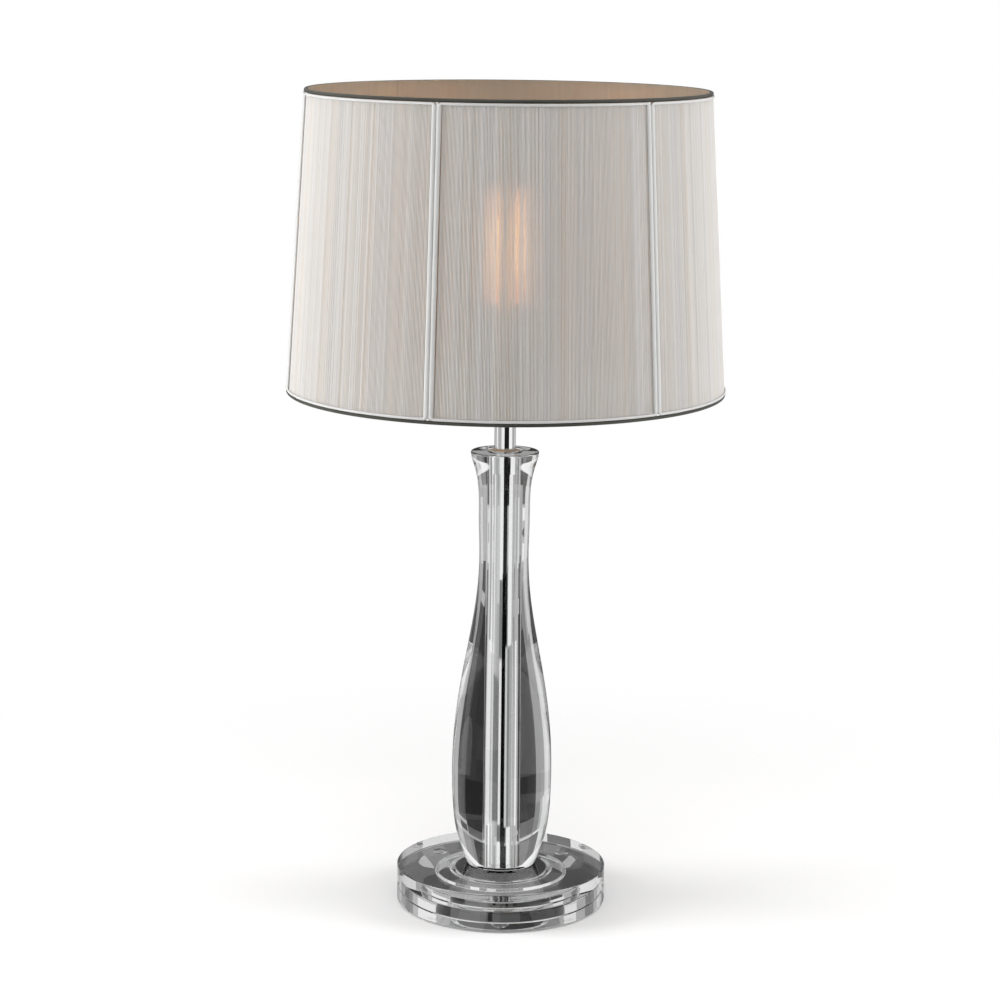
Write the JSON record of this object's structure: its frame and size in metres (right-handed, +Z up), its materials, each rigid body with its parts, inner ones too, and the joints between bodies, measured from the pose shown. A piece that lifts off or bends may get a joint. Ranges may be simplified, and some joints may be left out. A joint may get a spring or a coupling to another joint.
{
  "type": "table lamp",
  "caption": "Table lamp with a clear turned column on a round clear disc, a chromed centre tube, a screw lampholder and a round drum shade of stretched thread that lifts off and turns.",
  "frame": {"origin": "on the table under the middle of the base", "axes": "+Z up along the column, -Y towards the front, +X to the right seen from the front"},
  "size_m": [0.328, 0.328, 0.622],
  "materials": {
    "crystal": "polished clear lead-free crystal",
    "clear_rubber": "clear silicone, satin",
    "black_plastic": "moulded, satin",
    "chrome": "mirror bright",
    "steel": "zinc plated",
    "porcelain": "glazed porcelain",
    "brass": "stamped brass",
    "nickel": "nickel-plated brass",
    "bulb_plastic": "white moulded plastic",
    "bulb_glass": "opal phosphor-coated glass tube",
    "dark_wire": "dark bronze lacquer, satin",
    "white_wire": "white powder coat",
    "liner": "taupe laminated lining",
    "tape": "white woven satin tape",
    "thread": "silver-grey stretched thread"
  },
  "bodies": {
    "stand": {"base_disc": "crystal", "base_feet": "clear_rubber", "cord_bush": "black_plastic", "base_gasket": "clear_rubber", "base_plate": "chrome", "lock_washer": "steel", "base_nut": "steel", "tie_rod": "steel", "seat_gasket": "clear_rubber", "crystal_body": "crystal", "chrome_sleeve": "chrome", "sleeve_bush": "clear_rubber", "top_gasket": "clear_rubber", "top_ferrule": "chrome", "holder_cap": "black_plastic", "contact_block": "porcelain", "terminal_screws": "brass", "centre_contact": "brass", "screw_shell": "brass", "holder_body": "black_plastic"},
    "bulb": {"bulb_contact": "brass", "bulb_insulator": "black_plastic", "bulb_cap": "nickel", "bulb_housing": "bulb_plastic", "bulb_tube_left": "bulb_glass", "bulb_tube_right": "bulb_glass"},
    "clamp_ring": {"shade_clamp_ring": "black_plastic"},
    "shade": {"shade_top_ring": "dark_wire", "shade_bottom_ring": "dark_wire", "shade_struts": "white_wire", "spider_washer": "white_wire", "spider_arms": "white_wire", "shade_liner": "liner", "top_border": "tape", "bottom_border": "tape", "thread_panel_1": "thread", "thread_panel_2": "thread", "thread_panel_3": "thread", "thread_panel_4": "thread", "thread_panel_5": "thread", "thread_panel_6": "thread", "rib_trim_1": "tape", "rib_trim_2": "tape", "rib_trim_3": "tape", "rib_trim_4": "tape", "rib_trim_5": "tape", "rib_trim_6": "tape"}
  },
  "joints": [
    {"name": "bulb_lift", "type": "slide", "parent": "stand", "child": "bulb", "axis": [0, 0, 1], "range_m": [0, 0.225]},
    {"name": "shade_lift", "type": "slide", "parent": "stand", "child": "clamp_ring", "axis": [0, 0, 1], "range_m": [0, 0.16]},
    {"name": "shade_turn", "type": "hinge", "parent": "clamp_ring", "child": "shade", "pos_m": [0, 0, 0.403], "axis": [0, 0, 1], "continuous": true}
  ]
}
